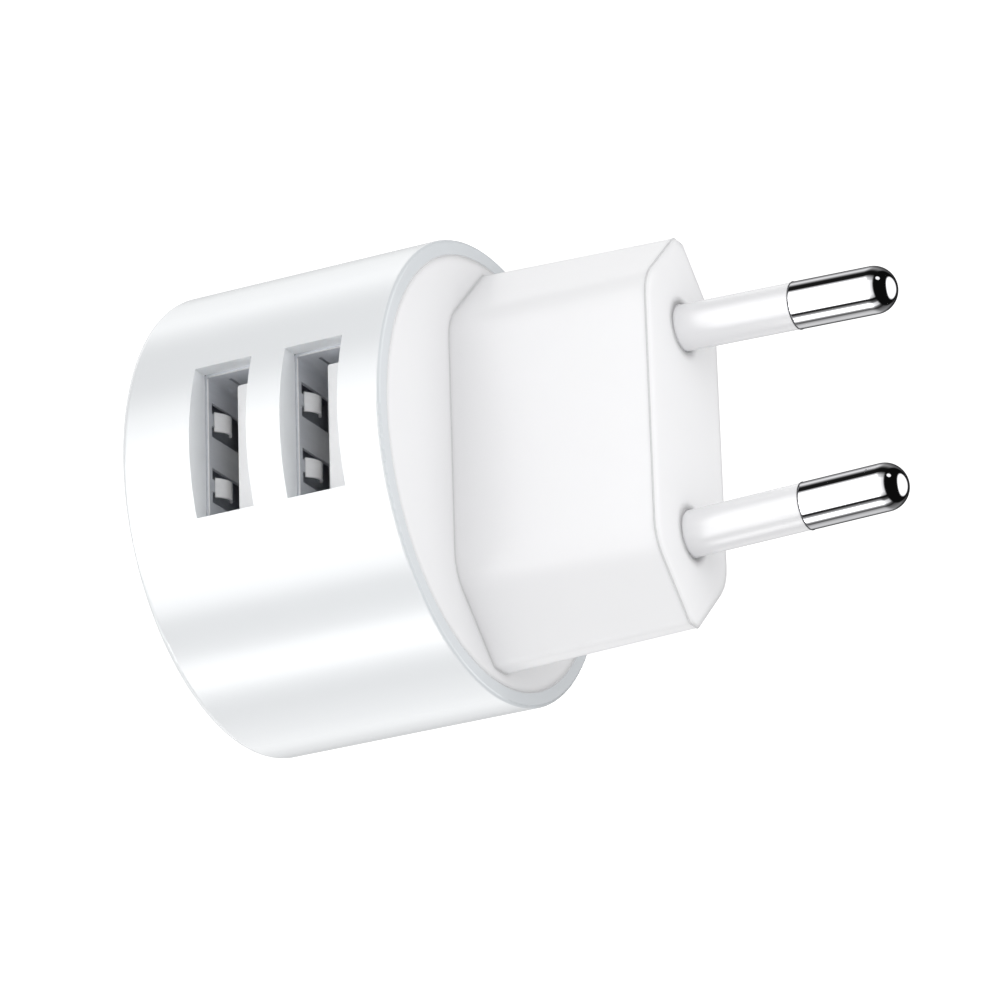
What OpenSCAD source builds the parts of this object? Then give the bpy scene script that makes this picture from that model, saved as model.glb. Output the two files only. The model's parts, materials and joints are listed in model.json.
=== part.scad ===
// USB wall charger: a round housing with two USB-A ports in its side and a two-pin European plug.
// Frame: origin at the centre of the flat back, +Z along the pins, the ports face -Y,
// and both pins lie in the XZ plane. Millimetres.

/* [Housing] */
// Outer diameter of the round housing
body_d = 40.5; // [40:0.1:41.5]
// Length of the housing from its back to its front rim
body_l = 24.7; // [24.5:0.1:30]
// Thickness of the round wall, seen as the ring at the front rim
wall = 1.3; // [1:0.05:1.6]
// Thickness of the back wall
back_t = 1.5; // [1.2:0.1:1.7]
// Radius of the outer edge around the back
back_edge_r = 0.7; // [0.3:0.1:1]
// Radius of the outer edge around the front rim
rim_edge_r = 0.3; // [0.1:0.05:0.5]

/* [Plug block] */
// Height of the block above the front rim
block_h = 18.3; // [16:0.1:20]
// Width of the block at its foot
block_foot_w = 35.6; // [35:0.1:36]
// Thickness of the block at its foot
block_foot_t = 15.2; // [14.5:0.1:16]
// Width of the block at its end
block_end_w = 34.6; // [34:0.1:35]
// Thickness of the block at its end
block_end_t = 13.4; // [13:0.1:14]
// Width of the flat side at the foot
flat_foot_w = 22.8; // [22:0.1:23.5]
// Width of the flat side at the end
flat_end_w = 23.3; // [22:0.1:23.5]
// Thickness of the narrow end face at the foot
nose_foot_t = 2.1; // [1.8:0.1:2.4]
// Thickness of the narrow end face at the end
nose_end_t = 1.5; // [1.3:0.1:1.8]
// Radius of the bend between flat side and chamfer
bend_r = 4; // [3:0.5:5]
// Wall of the block
block_wall = 1.7; // [1.4:0.1:1.9]
// Thickness of the wall that carries the pins
end_wall = 2.2; // [2:0.1:2.2]
// Thickness of the disc that closes the housing
disc_t = 2.2; // [1.8:0.1:2.2]

/* [Pins] */
// Diameter of the metal of a pin
pin_d = 4.05; // [3.94:0.01:4.06]
// Length of a pin in front of the block
pin_l = 19.5; // [19:0.1:19.5]
// Length of the insulating sleeve in front of the block
sleeve_l = 10.5; // [9.5:0.1:11]
// Distance between the pins where they leave the block
pin_gap_foot = 18.5; // [18:0.1:19.2]
// Distance between the pins at their tips
pin_gap_tip = 17.5; // [17:0.1:18]

/* [USB ports] */
// Height of the first port's centre above the back
port_1_z = 9.4; // [9.3:0.05:9.6]
// Distance from the first port's centre to the second's
port_pitch = 8.65; // [8.5:0.05:8.8]
// Distance from the housing's axis to the mouth of a receptacle
mouth_y = 17.45; // [17.3:0.05:17.45]
// Width of a window in the housing
window_w = 13.4; // [13.3:0.05:13.5]
// Height of a window in the housing
window_h = 5.45; // [5.4:0.01:5.6]
// Inner width of a receptacle
port_w = 13.1; // [12.6:0.1:13.1]
// Inner height of a receptacle
port_h = 5.12; // [5.1:0.01:5.2]
// Thickness of the receptacle's sheet steel
sheet = 0.3; // [0.25:0.01:0.3]
// Width of the contact tongue
tongue_w = 11.1; // [11:0.1:11.2]
// Thickness of the contact tongue
tongue_t = 1.84; // [1.8:0.01:1.9]
// Width of a retention spring finger
finger_w = 1.75; // [1.4:0.05:1.8]
// How far a finger on the contact side stands into the port
finger_rise_low = 0.72; // [0.6:0.01:0.8]
// How far a finger on the tongue's back side stands into the port
finger_rise_high = 0.5; // [0.4:0.01:0.55]

/* [Inside] */
// Thickness of the circuit boards
board_t = 1.6; // [1.4:0.1:1.6]
// Diameter of an input capacitor
input_cap_d = 8; // [7:0.1:8]
// Height of an input capacitor
input_cap_h = 12.5; // [10:0.5:13]
// Diameter of an output capacitor
output_cap_d = 6.3; // [5:0.1:6.3]
// Height of an output capacitor
output_cap_h = 11; // [9:0.5:12]

/* [Hidden] */
$fn = 96;
eps = 0.01;

body_r = body_d / 2;
inner_r = body_r - wall;
block_end_z = body_l + block_h;
port_2_z = port_1_z + port_pitch;

// A gap that lets pieces of the same body meet without sharing volume.
seat_gap = 0.05;
// The flat land behind the windows, where the receptacles' mouths sit.
land_w = 17;
land_foot_z = 5;
disc_foot_z = body_l - disc_t;
disc_r = inner_r - seat_gap;
disc_chamfer = 0.15;
rib_r = 1;
rib_x = inner_r - 0.35;
post_r = 1.5;
post_ring_r = 16.4;
post_angles = [20, 160, 240, 300];

// The chamfer's angle, the same for every section of the block.
chamfer_angle = atan((block_foot_t - nose_foot_t) / (block_foot_w - flat_foot_w));
nose_r = 0.5;
block_edge_r = 0.35;
slice_t = 0.01;

sleeve_r = pin_d / 2 - 0.025;
// The sleeve's foot is wider, is held under the end wall and ends just below its face.
sleeve_foot_r = 2.4;
sleeve_foot_top = -0.1;
// Room around the sleeve where it comes out, so that a leaning pin clears a flat plate.
sleeve_room = 0.08;
neck_r = 1.45;
collar_r = 2.7;
tail_r = 1.2;
collar_top = -2.35;
collar_foot = -4;
boss_foot = -5;
boss_r = 3.6;
tail_foot = -7.5;
pin_lean = atan((pin_gap_foot - pin_gap_tip) / 2 / (pin_l - pin_d / 2));

shell_back_y = -3.3;
shell_corner_r = 0.6;
tongue_front_y = -16.5;
// The tongue's contact face, measured from the port's centre.
tongue_foot = -0.13;
tongue_root_y = -6.6;
contact_x = [-3.5, -1, 1, 3.5];
contact_w = 1;
contact_t = 0.25;
contact_proud = 0.1;
contact_foot = tongue_foot - contact_proud;
contact_top = contact_foot + contact_t;
contact_front_y = -15.6;
tail_end_y = -0.8;
leg_z = 1.4;
leg_w = 1.2;

// A narrow slot in each side wall of the shell.
slot_h = 0.3;
slot_z = -1.1;
slot_front_y = -16.1;
slot_back_y = -12.6;

finger_x = [-2.95, 2.95];
finger_root_y = -16.1;
finger_top = 1.7;
finger_run = 3.2;
finger_steps = 12;
root_gap = 0.045;
cutout_w = 3.1;
cutout_front_y = -16.7;
cutout_back_y = -11.7;
// The strip that joins a finger to the shell in front of it.
strap_w = 1.1;

usb_board_front_y = -3.2;
usb_board_w = 31;
usb_board_top_z = 21.6;
power_board_foot_z = 3.3;
power_board_top_z = power_board_foot_z + board_t;
power_board_r = inner_r - 0.65;
lead_r = 0.3;
hole_r = 0.45;
lead_foot_z = power_board_foot_z - 0.7;

transformer_y = 8.2;
transformer_z = 13.6;
core_w = 13;
core_t = 6;
core_h = 12.6;
core_gap = 0.1;
leg_half_w = 1.6;
window_out_x = 4.95;
window_half_h = 4.7;
bobbin_pin_x = [-4, 0, 4];
bobbin_pin_y = 4.6;

input_cap_x = 12.2;
input_cap_y = 6.8;
input_lead = 1.75;
output_cap_x = 11.4;
output_cap_y = -9.2;
output_lead = 1.25;
link_pin_x = [-11.5, -9.5, 9.5, 11.5];
link_pin_y = -0.7;
link_pin_z = 6.2;
wire_r = 0.7;
wire_foot = [11.8, 12.4];
// Route of a lead wire, from the inner end of a pin to the power board.
wire_route = [
    [9.5, 0, 35.3], [9.6, 0.5, 31.5], [9.8, 1.8, 27.8], [9.9, 3.4, 24.2],
    [10.3, 6, 21], [11.8, 11.6, 17.9], [11.9, 12.4, 11.5], [11.8, 12.4, 3.6]
];

// ---- Helpers ----

module rounded_rect(w, h, r) {
    square([w - 2 * r, h], center = true);
    square([w, h - 2 * r], center = true);
    for (x = [-1, 1], y = [-1, 1])
        translate([x * (w / 2 - r), y * (h / 2 - r)])
            circle(r);
}

// Extrudes a section drawn in the XZ plane from y0 to y1.
module along_y(y0, y1) {
    translate([0, y1, 0])
        rotate([90, 0, 0])
            linear_extrude(y1 - y0)
                children();
}

// A box from its lowest to its highest corner.
module span(low, high) {
    translate(low)
        cube(high - low);
}

// One point on a smooth curve through four neighbours, between the middle two.
function blend_point(a, b, c, d, t) =
    0.5 * (2 * b + (c - a) * t + (2 * a - 5 * b + 4 * c - d) * t * t
        + (3 * b - a - 3 * c + d) * t * t * t);

function smooth_path(p, steps) =
    let (last = len(p) - 1)
    [
        for (i = [0 : last - 1], s = [0 : steps - 1])
            blend_point(p[max(i - 1, 0)], p[i], p[i + 1], p[min(i + 2, last)], s / steps),
        p[last]
    ];

function direction(v) = v / norm(v);

// A closed tube along a path that never runs along X.
module tube(path, r, sides) {
    rings = len(path);
    points = [
        for (i = [0 : rings - 1])
            let (
                ahead = direction(path[min(i + 1, rings - 1)] - path[max(i - 1, 0)]),
                side = direction(cross(ahead, [1, 0, 0])),
                up = cross(ahead, side)
            )
            for (k = [0 : sides - 1])
                path[i] + r * (side * cos(360 * k / sides) + up * sin(360 * k / sides))
    ];
    faces = [
        [for (k = [0 : sides - 1]) k],
        for (i = [0 : rings - 2], k = [0 : sides - 1])
            let (a = i * sides + k, b = i * sides + (k + 1) % sides)
            [a, a + sides, b + sides, b],
        [for (k = [sides - 1 : -1 : 0]) (rings - 1) * sides + k]
    ];
    polyhedron(points, faces);
}

// Places a piece of the pin on side s (1 for +X, -1 for -X), with its origin on the end wall.
module on_pin(s) {
    translate([s * pin_gap_foot / 2, 0, block_end_z])
        rotate([0, -s * pin_lean, 0])
            children();
}

// Places a piece of a receptacle, with its origin on the port's centre line.
module in_port(z) {
    translate([0, 0, z])
        children();
}

// ---- Casing ----

module housing_profile() {
    difference() {
        union() {
            translate([0, back_edge_r])
                square([body_r, body_l - back_edge_r - rim_edge_r]);
            square([body_r - back_edge_r, body_l]);
            translate([body_r - back_edge_r, back_edge_r])
                circle(back_edge_r);
            translate([0, body_l - 1])
                square([body_r - rim_edge_r, 1]);
            translate([body_r - rim_edge_r, body_l - rim_edge_r])
                circle(rim_edge_r);
        }
        translate([0, back_t])
            square([inner_r, body_l]);
    }
}

module window_land() {
    intersection() {
        translate([0, 0, land_foot_z])
            cylinder(r = inner_r + 0.3, h = disc_foot_z - land_foot_z - 0.2);
        span([-land_w / 2, -body_r, land_foot_z], [land_w / 2, -mouth_y - seat_gap, disc_foot_z]);
    }
}

module housing() {
    color("white")
        difference() {
            union() {
                rotate_extrude()
                    housing_profile();
                window_land();
                for (s = [-1, 1])
                    intersection() {
                        translate([s * rib_x, 0, back_t - eps])
                            cylinder(r = rib_r, h = disc_foot_z - back_t);
                        cylinder(r = inner_r + 0.3, h = body_l);
                    }
                for (a = post_angles)
                    rotate(a)
                        translate([post_ring_r, 0, back_t - eps])
                            cylinder(r = post_r, h = power_board_foot_z - back_t);
            }
            for (z = [port_1_z, port_2_z])
                span(
                    [-window_w / 2, -body_r - 1, z - window_h / 2],
                    [window_w / 2, -mouth_y + 0.2, z + window_h / 2]
                );
        }
}

// Linear change of a size from the block's foot to its end, at height t from 0 to 1.
function taper(foot, end, t) = foot + (end - foot) * t;

// One section of the block at height z, moved in by inset, with a nose that ends early by nose_cut.
module block_slice(z, inset, nose_cut = 0, corner_r = nose_r) {
    t = (z - body_l) / block_h;
    side_r = bend_r - inset;
    flat_x = taper(flat_foot_w, flat_end_w, t) / 2 - bend_r * tan(chamfer_angle / 2);
    flat_y = taper(block_foot_t, block_end_t, t) / 2 - bend_r;
    nose_turn = tan((90 - chamfer_angle) / 2);
    nose_x = taper(block_foot_w, block_end_w, t) / 2 - inset - nose_cut - corner_r;
    nose_y = taper(nose_foot_t, nose_end_t, t) / 2 - (inset + corner_r) * nose_turn
        + nose_cut * tan(chamfer_angle);
    for (x = [-1, 1], y = [-1, 1]) {
        translate([x * flat_x, y * flat_y, z])
            cylinder(r = side_r, h = slice_t, $fn = 32);
        translate([x * nose_x, y * nose_y, z])
            cylinder(r = corner_r, h = slice_t, $fn = 32);
    }
}

module block_body() {
    top = block_end_z - slice_t;
    hull() {
        block_slice(body_l - 0.5, 0);
        block_slice(top - block_edge_r, 0);
        block_slice(top - 0.29 * block_edge_r, 0.29 * block_edge_r, 0, nose_r - 0.29 * block_edge_r);
        block_slice(top, block_edge_r, 0, nose_r - block_edge_r);
    }
}

module block_cavity() {
    hull() {
        block_slice(disc_foot_z - 1, block_wall, 1.2, 0.3);
        block_slice(block_end_z - end_wall, block_wall, 1.2, 0.3);
    }
}

module pin_bore() {
    translate([0, 0, collar_top])
        cylinder(r = sleeve_r + sleeve_room, h = 4);
    translate([0, 0, collar_top])
        cylinder(r = sleeve_foot_r + 0.02, h = sleeve_foot_top - collar_top);
    translate([0, 0, collar_foot - 0.02])
        cylinder(r = collar_r + 0.02, h = collar_top - collar_foot + 0.04);
    translate([0, 0, boss_foot - 1])
        cylinder(r = tail_r + 0.05, h = 2);
}

module plug_base() {
    color("whitesmoke")
        difference() {
            union() {
                difference() {
                    union() {
                        translate([0, 0, disc_foot_z])
                            cylinder(r = disc_r, h = disc_t - disc_chamfer);
                        translate([0, 0, body_l - disc_chamfer])
                            cylinder(r1 = disc_r, r2 = disc_r - disc_chamfer, h = disc_chamfer);
                        block_body();
                    }
                    block_cavity();
                }
                for (s = [-1, 1])
                    on_pin(s)
                        translate([0, 0, boss_foot])
                            cylinder(r = boss_r, h = -boss_foot - 1);
            }
            for (s = [-1, 1])
                on_pin(s)
                    pin_bore();
        }
}

// ---- Pins ----

module pin(s) {
    head_top = pin_l - pin_d / 2;
    color("silver")
        on_pin(s) {
            translate([0, 0, tail_foot])
                cylinder(r = tail_r, h = collar_foot - tail_foot + eps);
            translate([0, 0, collar_foot])
                cylinder(r = collar_r, h = collar_top - collar_foot);
            translate([0, 0, collar_top - eps])
                cylinder(r = neck_r, h = sleeve_l - collar_top + 2 * eps);
            translate([0, 0, sleeve_l])
                cylinder(r = pin_d / 2, h = head_top - sleeve_l);
            translate([0, 0, head_top])
                sphere(r = pin_d / 2);
        }
}

module pin_sleeve(s) {
    color("white")
        on_pin(s)
            difference() {
                union() {
                    translate([0, 0, collar_top + 0.02])
                        cylinder(r = sleeve_r, h = sleeve_l - collar_top - 0.07);
                    translate([0, 0, collar_top + 0.02])
                        cylinder(r = sleeve_foot_r, h = sleeve_foot_top - collar_top - 0.02);
                }
                translate([0, 0, collar_top - 1])
                    cylinder(r = neck_r + 0.01, h = sleeve_l + 5);
            }
}

module pin_wire(s, tint) {
    route = [for (p = wire_route) [s * p[0], p[1], p[2]]];
    color(tint)
        tube(smooth_path(route, 3), wire_r, 8);
}

// ---- USB receptacles ----

module shell_cutouts() {
    for (x = finger_x)
        span(
            [x - cutout_w / 2, cutout_front_y, -port_h],
            [x + cutout_w / 2, cutout_back_y, port_h]
        );
    span([-port_w, slot_front_y, slot_z - slot_h / 2], [port_w, slot_back_y, slot_z + slot_h / 2]);
}

// The short straps of the sheet that reach back to the roots of the fingers.
module finger_straps() {
    for (x = finger_x, s = [-1, 1])
        translate([x, 0, s * (port_h + sheet) / 2])
            span(
                [-strap_w / 2, cutout_front_y - 0.2, -sheet / 2],
                [strap_w / 2, finger_root_y - sheet / 2 - root_gap, sheet / 2]
            );
}

module port_shell(z) {
    color("silver")
        in_port(z) {
            difference() {
                along_y(-mouth_y, shell_back_y)
                    difference() {
                        rounded_rect(port_w + 2 * sheet, port_h + 2 * sheet, shell_corner_r);
                        rounded_rect(port_w, port_h, shell_corner_r - sheet);
                    }
                shell_cutouts();
            }
            finger_straps();
            for (x = [-1, 1], leg = [-leg_z, leg_z])
                translate([x * (port_w + sheet) / 2, (shell_back_y + tail_end_y) / 2, leg])
                    cube([sheet, tail_end_y - shell_back_y + 0.2, leg_w], center = true);
        }
}

module port_tongue(z) {
    tongue_mid = tongue_foot + tongue_t / 2;
    color("white")
        in_port(z)
            difference() {
                union() {
                    translate([0, 0, tongue_mid])
                        along_y(tongue_front_y, tongue_root_y + 1)
                            rounded_rect(tongue_w, tongue_t, 0.2);
                    along_y(tongue_root_y, shell_back_y)
                        rounded_rect(port_w - seat_gap, port_h - seat_gap, shell_corner_r - sheet);
                }
                for (x = contact_x)
                    span(
                        [x - contact_w / 2 - seat_gap, contact_front_y - seat_gap, tongue_foot - eps],
                        [x + contact_w / 2 + seat_gap, 0, contact_top + seat_gap]
                    );
                for (x = contact_x)
                    span(
                        [x - contact_w / 2 - seat_gap, tongue_root_y - eps, contact_foot - seat_gap],
                        [x + contact_w / 2 + seat_gap, 0, tongue_foot]
                    );
            }
}

module port_contacts(z) {
    color("gold")
        in_port(z)
            for (x = contact_x) {
                span(
                    [x - contact_w / 2, contact_front_y, contact_foot],
                    [x + contact_w / 2, shell_back_y, contact_top]
                );
                span(
                    [x - contact_w / 4, shell_back_y - eps, contact_foot],
                    [x + contact_w / 4, tail_end_y, contact_top]
                );
            }
}

// Height of a finger's middle line above its root at distance y along the port.
function finger_line(y, rise) =
    y < finger_top
        ? rise * sin(90 * y / finger_top)
        : rise * cos(90 * (y - finger_top) / (finger_run - finger_top));

function finger_edge(y, rise, side) =
    let (
        slope = (finger_line(y + 0.01, rise) - finger_line(y - 0.01, rise)) / 0.02,
        length = sqrt(1 + slope * slope)
    )
    [y - side * slope / length * sheet / 2, finger_line(y, rise) + side / length * sheet / 2];

// A bent finger in its own frame: the root's axis lies on X, the finger runs along +Y
// and its crown stands up to +Z.
module finger(rise) {
    stations = [for (i = [0 : finger_steps]) finger_run * i / finger_steps];
    upper = [for (y = stations) finger_edge(y, rise, 1)];
    lower = [for (i = [finger_steps : -1 : 0]) finger_edge(stations[i], rise, -1)];
    rotate([90, 0, 90])
        translate([0, 0, -finger_w / 2]) {
            linear_extrude(finger_w)
                polygon(concat(upper, lower));
            cylinder(r = sheet / 2, h = finger_w);
        }
}

// The pair of fingers on one wide wall: side -1 is the wall nearer the back, 1 nearer the plug.
module port_springs(z, side, rise) {
    color("lightgray")
        for (x = finger_x)
            translate([x, finger_root_y, z + side * (port_h + sheet) / 2])
                mirror([0, 0, side > 0 ? 1 : 0])
                    finger(rise);
}

// ---- Boards ----

module usb_board() {
    color("darkslategray")
        difference() {
            span(
                [-usb_board_w / 2, usb_board_front_y, power_board_top_z + seat_gap],
                [usb_board_w / 2, usb_board_front_y + board_t, usb_board_top_z]
            );
            for (z = [port_1_z, port_2_z]) {
                for (x = contact_x)
                    translate([x, 0, z + tongue_foot])
                        rotate([90, 0, 0])
                            cylinder(r = hole_r, h = 5, $fn = 24);
                for (x = [-1, 1], leg = [-leg_z, leg_z])
                    translate([x * (port_w + sheet) / 2, usb_board_front_y + board_t / 2, z + leg])
                        cube([sheet + 0.3, board_t + 1, leg_w + 0.3], center = true);
            }
            for (x = link_pin_x)
                translate([x, 0, link_pin_z])
                    rotate([90, 0, 0])
                        cylinder(r = hole_r, h = 5, $fn = 24);
        }
}

module chip(size, place, lead_count, turn = 0) {
    color("dimgray")
        translate(place)
            rotate(turn) {
                translate([0, 0, size[2] / 2])
                    cube(size, center = true);
                for (s = [-1, 1], i = [0 : lead_count - 1])
                    translate([
                        (i - (lead_count - 1) / 2) * size[0] / lead_count,
                        s * (size[1] / 2 + 0.3),
                        size[2] / 4
                    ])
                        cube([0.4, 0.6 + eps, size[2] / 2], center = true);
            }
}

module charge_controller() {
    translate([0, usb_board_front_y + board_t + seat_gap, (port_1_z + port_2_z) / 2])
        rotate([-90, 0, 0])
            chip([3.8, 3.2, 1.1], [10.4, 0, 0], 4);
}

module link_pins() {
    color("gold")
        for (x = link_pin_x) {
            translate([x, link_pin_y, lead_foot_z])
                cylinder(r = lead_r, h = link_pin_z - lead_foot_z, $fn = 24);
            translate([x, link_pin_y, link_pin_z])
                sphere(r = lead_r, $fn = 24);
            translate([x, link_pin_y, link_pin_z])
                rotate([90, 0, 0])
                    cylinder(r = lead_r, h = 3.2, $fn = 24);
        }
}

module isolation_sheet() {
    color("ivory")
        span([-16, 0.6, power_board_top_z + seat_gap], [16, 1, 22]);
}

module board_hole(x, y, r) {
    translate([x, y, power_board_foot_z - 1])
        cylinder(r = r, h = board_t + 2, $fn = 24);
}

module power_board() {
    color("darkslategray")
        difference() {
            translate([0, 0, power_board_foot_z])
                cylinder(r = power_board_r, h = board_t);
            for (s = [-1, 1]) {
                translate([s * rib_x, 0, 0])
                    cylinder(r = rib_r + 0.3, h = body_l);
                board_hole(s * wire_foot[0], wire_foot[1], wire_r + 0.15);
                for (lead = [-1, 1]) {
                    board_hole(s * input_cap_x, input_cap_y + lead * input_lead, hole_r);
                    board_hole(s * output_cap_x, output_cap_y + lead * output_lead, hole_r);
                }
            }
            for (x = link_pin_x)
                board_hole(x, link_pin_y, hole_r);
            for (x = bobbin_pin_x, s = [-1, 1])
                board_hole(x, transformer_y + s * bobbin_pin_y, hole_r);
        }
}

// ---- Transformer ----

module in_transformer() {
    translate([0, transformer_y, transformer_z])
        children();
}

module transformer_core() {
    color("darkslategray")
        in_transformer()
            difference() {
                cube([core_w, core_t, core_h], center = true);
                for (s = [-1, 1])
                    translate([s * (leg_half_w + window_out_x) / 2, 0, 0])
                        cube([window_out_x - leg_half_w, core_t + 1, 2 * window_half_h], center = true);
                cube([core_w + 1, core_t + 1, core_gap], center = true);
            }
}

module transformer_bobbin() {
    flange_t = 0.6;
    tube_h = 2 * window_half_h - 0.3;
    base_top = transformer_z - core_h / 2 - 0.1;
    bobbin_base_w = 10.4;
    bobbin_base_t = 11.4;
    color("black") {
        in_transformer()
            difference() {
                union() {
                    linear_extrude(tube_h, center = true)
                        rounded_rect(2 * leg_half_w + 1.4, core_t + 1.6, 0.3);
                    for (s = [-1, 1])
                        translate([0, 0, s * (tube_h - flange_t) / 2])
                            linear_extrude(flange_t, center = true)
                                rounded_rect(2 * window_out_x - 0.3, 11.4, 0.5);
                }
                linear_extrude(core_h, center = true)
                    square([2 * leg_half_w + 0.2, core_t + 0.2], center = true);
            }
        span(
            [-bobbin_base_w / 2, transformer_y - bobbin_base_t / 2, power_board_top_z + seat_gap],
            [bobbin_base_w / 2, transformer_y + bobbin_base_t / 2, base_top]
        );
        for (s = [-1, 1])
            translate([0, transformer_y + s * 4.5, (base_top + transformer_z - tube_h / 2) / 2])
                cube([9, 2.4, transformer_z - tube_h / 2 - base_top + 0.4], center = true);
        for (x = bobbin_pin_x, s = [-1, 1])
            translate([x, transformer_y + s * bobbin_pin_y, lead_foot_z])
                cylinder(r = lead_r, h = power_board_top_z - lead_foot_z + 0.5, $fn = 24);
    }
}

module transformer_winding() {
    color("gold")
        in_transformer()
            difference() {
                linear_extrude(7.6, center = true)
                    rounded_rect(9.2, 10.8, 1.5);
                linear_extrude(core_h, center = true)
                    rounded_rect(2 * leg_half_w + 1.5, core_t + 1.7, 0.3);
            }
}

// ---- Other components ----

// An upright electrolytic capacitor with its rolled groove, on two leads.
module capacitor(x, y, d, h, lead, tint) {
    foot = power_board_top_z + seat_gap;
    groove_z = 1.4;
    color(tint) {
        translate([x, y, foot])
            rotate_extrude()
                difference() {
                    square([d / 2, h]);
                    translate([d / 2 + 0.15, groove_z])
                        circle(0.45, $fn = 24);
                }
        for (s = [-1, 1])
            translate([x, y + s * lead, lead_foot_z])
                cylinder(r = lead_r, h = foot - lead_foot_z + 0.5, $fn = 24);
    }
}

module safety_capacitor() {
    color("royalblue")
        translate([0, 16, power_board_top_z + 4.5]) {
            rotate([90, 0, 0])
                cylinder(r = 3.5, h = 2.4, center = true);
            for (s = [-1, 1])
                translate([s * 2, 0, -4.4])
                    cylinder(r = lead_r, h = 2.6, $fn = 24);
        }
}

module filter_inductor() {
    color("saddlebrown")
        translate([-7.8, 13.9, power_board_top_z + seat_gap]) {
            cylinder(r = 2.4, h = 1);
            cylinder(r = 1.9, h = 6.6);
            translate([0, 0, 5.6])
                cylinder(r = 2.4, h = 1);
        }
}

module fusible_resistor() {
    color("seagreen")
        translate([7.6, 14.1, power_board_top_z + seat_gap]) {
            cylinder(r = 1.4, h = 1.4);
            translate([0, 0, 1.3])
                cylinder(r = 1.2, h = 4.9);
            translate([0, 0, 6.1])
                cylinder(r = 1.4, h = 1.4);
            translate([0, 0, 7.4])
                cylinder(r = lead_r, h = 0.8, $fn = 24);
        }
}

module bridge_rectifier() {
    chip([4.7, 3.9, 1.4], [7.4, 3.4, power_board_foot_z - 1.45], 2);
}

module switching_controller() {
    chip([4.9, 3.9, 1.4], [-7.4, 8.2, power_board_foot_z - 1.45], 4);
}

module output_rectifier() {
    chip([4.9, 3.9, 1.4], [0, -7, power_board_foot_z - 1.45], 4);
}

housing();
plug_base();
pin(-1);  // pin_1
pin(1);  // pin_2
pin_sleeve(-1);  // pin_1_sleeve
pin_sleeve(1);  // pin_2_sleeve
pin_wire(-1, "brown");  // pin_1_wire
pin_wire(1, "blue");  // pin_2_wire
port_shell(port_1_z);  // port_1_shell
port_tongue(port_1_z);  // port_1_tongue
port_contacts(port_1_z);  // port_1_contacts
port_springs(port_1_z, -1, finger_rise_low);  // port_1_low_springs
port_springs(port_1_z, 1, finger_rise_high);  // port_1_high_springs
port_shell(port_2_z);  // port_2_shell
port_tongue(port_2_z);  // port_2_tongue
port_contacts(port_2_z);  // port_2_contacts
port_springs(port_2_z, -1, finger_rise_low);  // port_2_low_springs
port_springs(port_2_z, 1, finger_rise_high);  // port_2_high_springs
usb_board();
charge_controller();
link_pins();
isolation_sheet();
power_board();
transformer_core();
transformer_bobbin();
transformer_winding();
capacitor(-input_cap_x, input_cap_y, input_cap_d, input_cap_h, input_lead, "black");  // input_capacitor_1
capacitor(input_cap_x, input_cap_y, input_cap_d, input_cap_h, input_lead, "black");  // input_capacitor_2
capacitor(-output_cap_x, output_cap_y, output_cap_d, output_cap_h, output_lead, "darkgreen");  // output_capacitor_1
capacitor(output_cap_x, output_cap_y, output_cap_d, output_cap_h, output_lead, "darkgreen");  // output_capacitor_2
safety_capacitor();
filter_inductor();
fusible_resistor();
bridge_rectifier();
switching_controller();
output_rectifier();
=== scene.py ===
# A round USB wall charger with a two-pin European plug, shown on a white stage.
import json
import math

import bmesh
import bpy
from mathutils import Matrix, Vector


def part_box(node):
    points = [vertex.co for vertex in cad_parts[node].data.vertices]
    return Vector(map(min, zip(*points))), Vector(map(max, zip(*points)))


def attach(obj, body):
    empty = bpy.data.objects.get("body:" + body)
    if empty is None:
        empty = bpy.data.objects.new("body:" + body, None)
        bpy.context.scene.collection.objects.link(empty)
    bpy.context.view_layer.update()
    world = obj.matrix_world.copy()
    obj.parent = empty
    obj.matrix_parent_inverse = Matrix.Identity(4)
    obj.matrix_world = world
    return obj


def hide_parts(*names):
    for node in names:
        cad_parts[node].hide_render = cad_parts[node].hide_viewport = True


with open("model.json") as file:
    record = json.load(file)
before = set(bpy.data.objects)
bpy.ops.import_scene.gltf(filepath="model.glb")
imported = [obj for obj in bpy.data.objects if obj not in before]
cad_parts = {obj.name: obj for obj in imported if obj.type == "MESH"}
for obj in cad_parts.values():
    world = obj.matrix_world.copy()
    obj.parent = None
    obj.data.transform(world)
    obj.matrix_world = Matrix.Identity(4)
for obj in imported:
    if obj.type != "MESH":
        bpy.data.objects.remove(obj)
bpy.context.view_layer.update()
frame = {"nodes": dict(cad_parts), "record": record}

nodes = frame["nodes"]
mm = 0.001

# ---------------------------------------------------------------- camera and stage

CAMERA_AIM = Vector((-1.62, 9.51, 20.32)) * mm
CAMERA_DISTANCE = 512.0 * mm
CAMERA_AZIMUTH = math.radians(23.6697)
CAMERA_ELEVATION = math.radians(25.0635)
# The camera is turned on its side, so that the plug points to the right.
CAMERA_ROLL = math.radians(77.684)
CAMERA_LENS = 213.3
CAMERA_SENSOR = 36.0
CAMERA_CLIP = (0.01, 20.0)
FLOOR_RADIUS = 3.0
FLOOR_SIDES = 96
FLOOR_DROP = 0.02 * mm


def link_new(name, data):
    """A new object in the scene."""
    piece = bpy.data.objects.new(name, data)
    bpy.context.scene.collection.objects.link(piece)
    return piece


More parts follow.
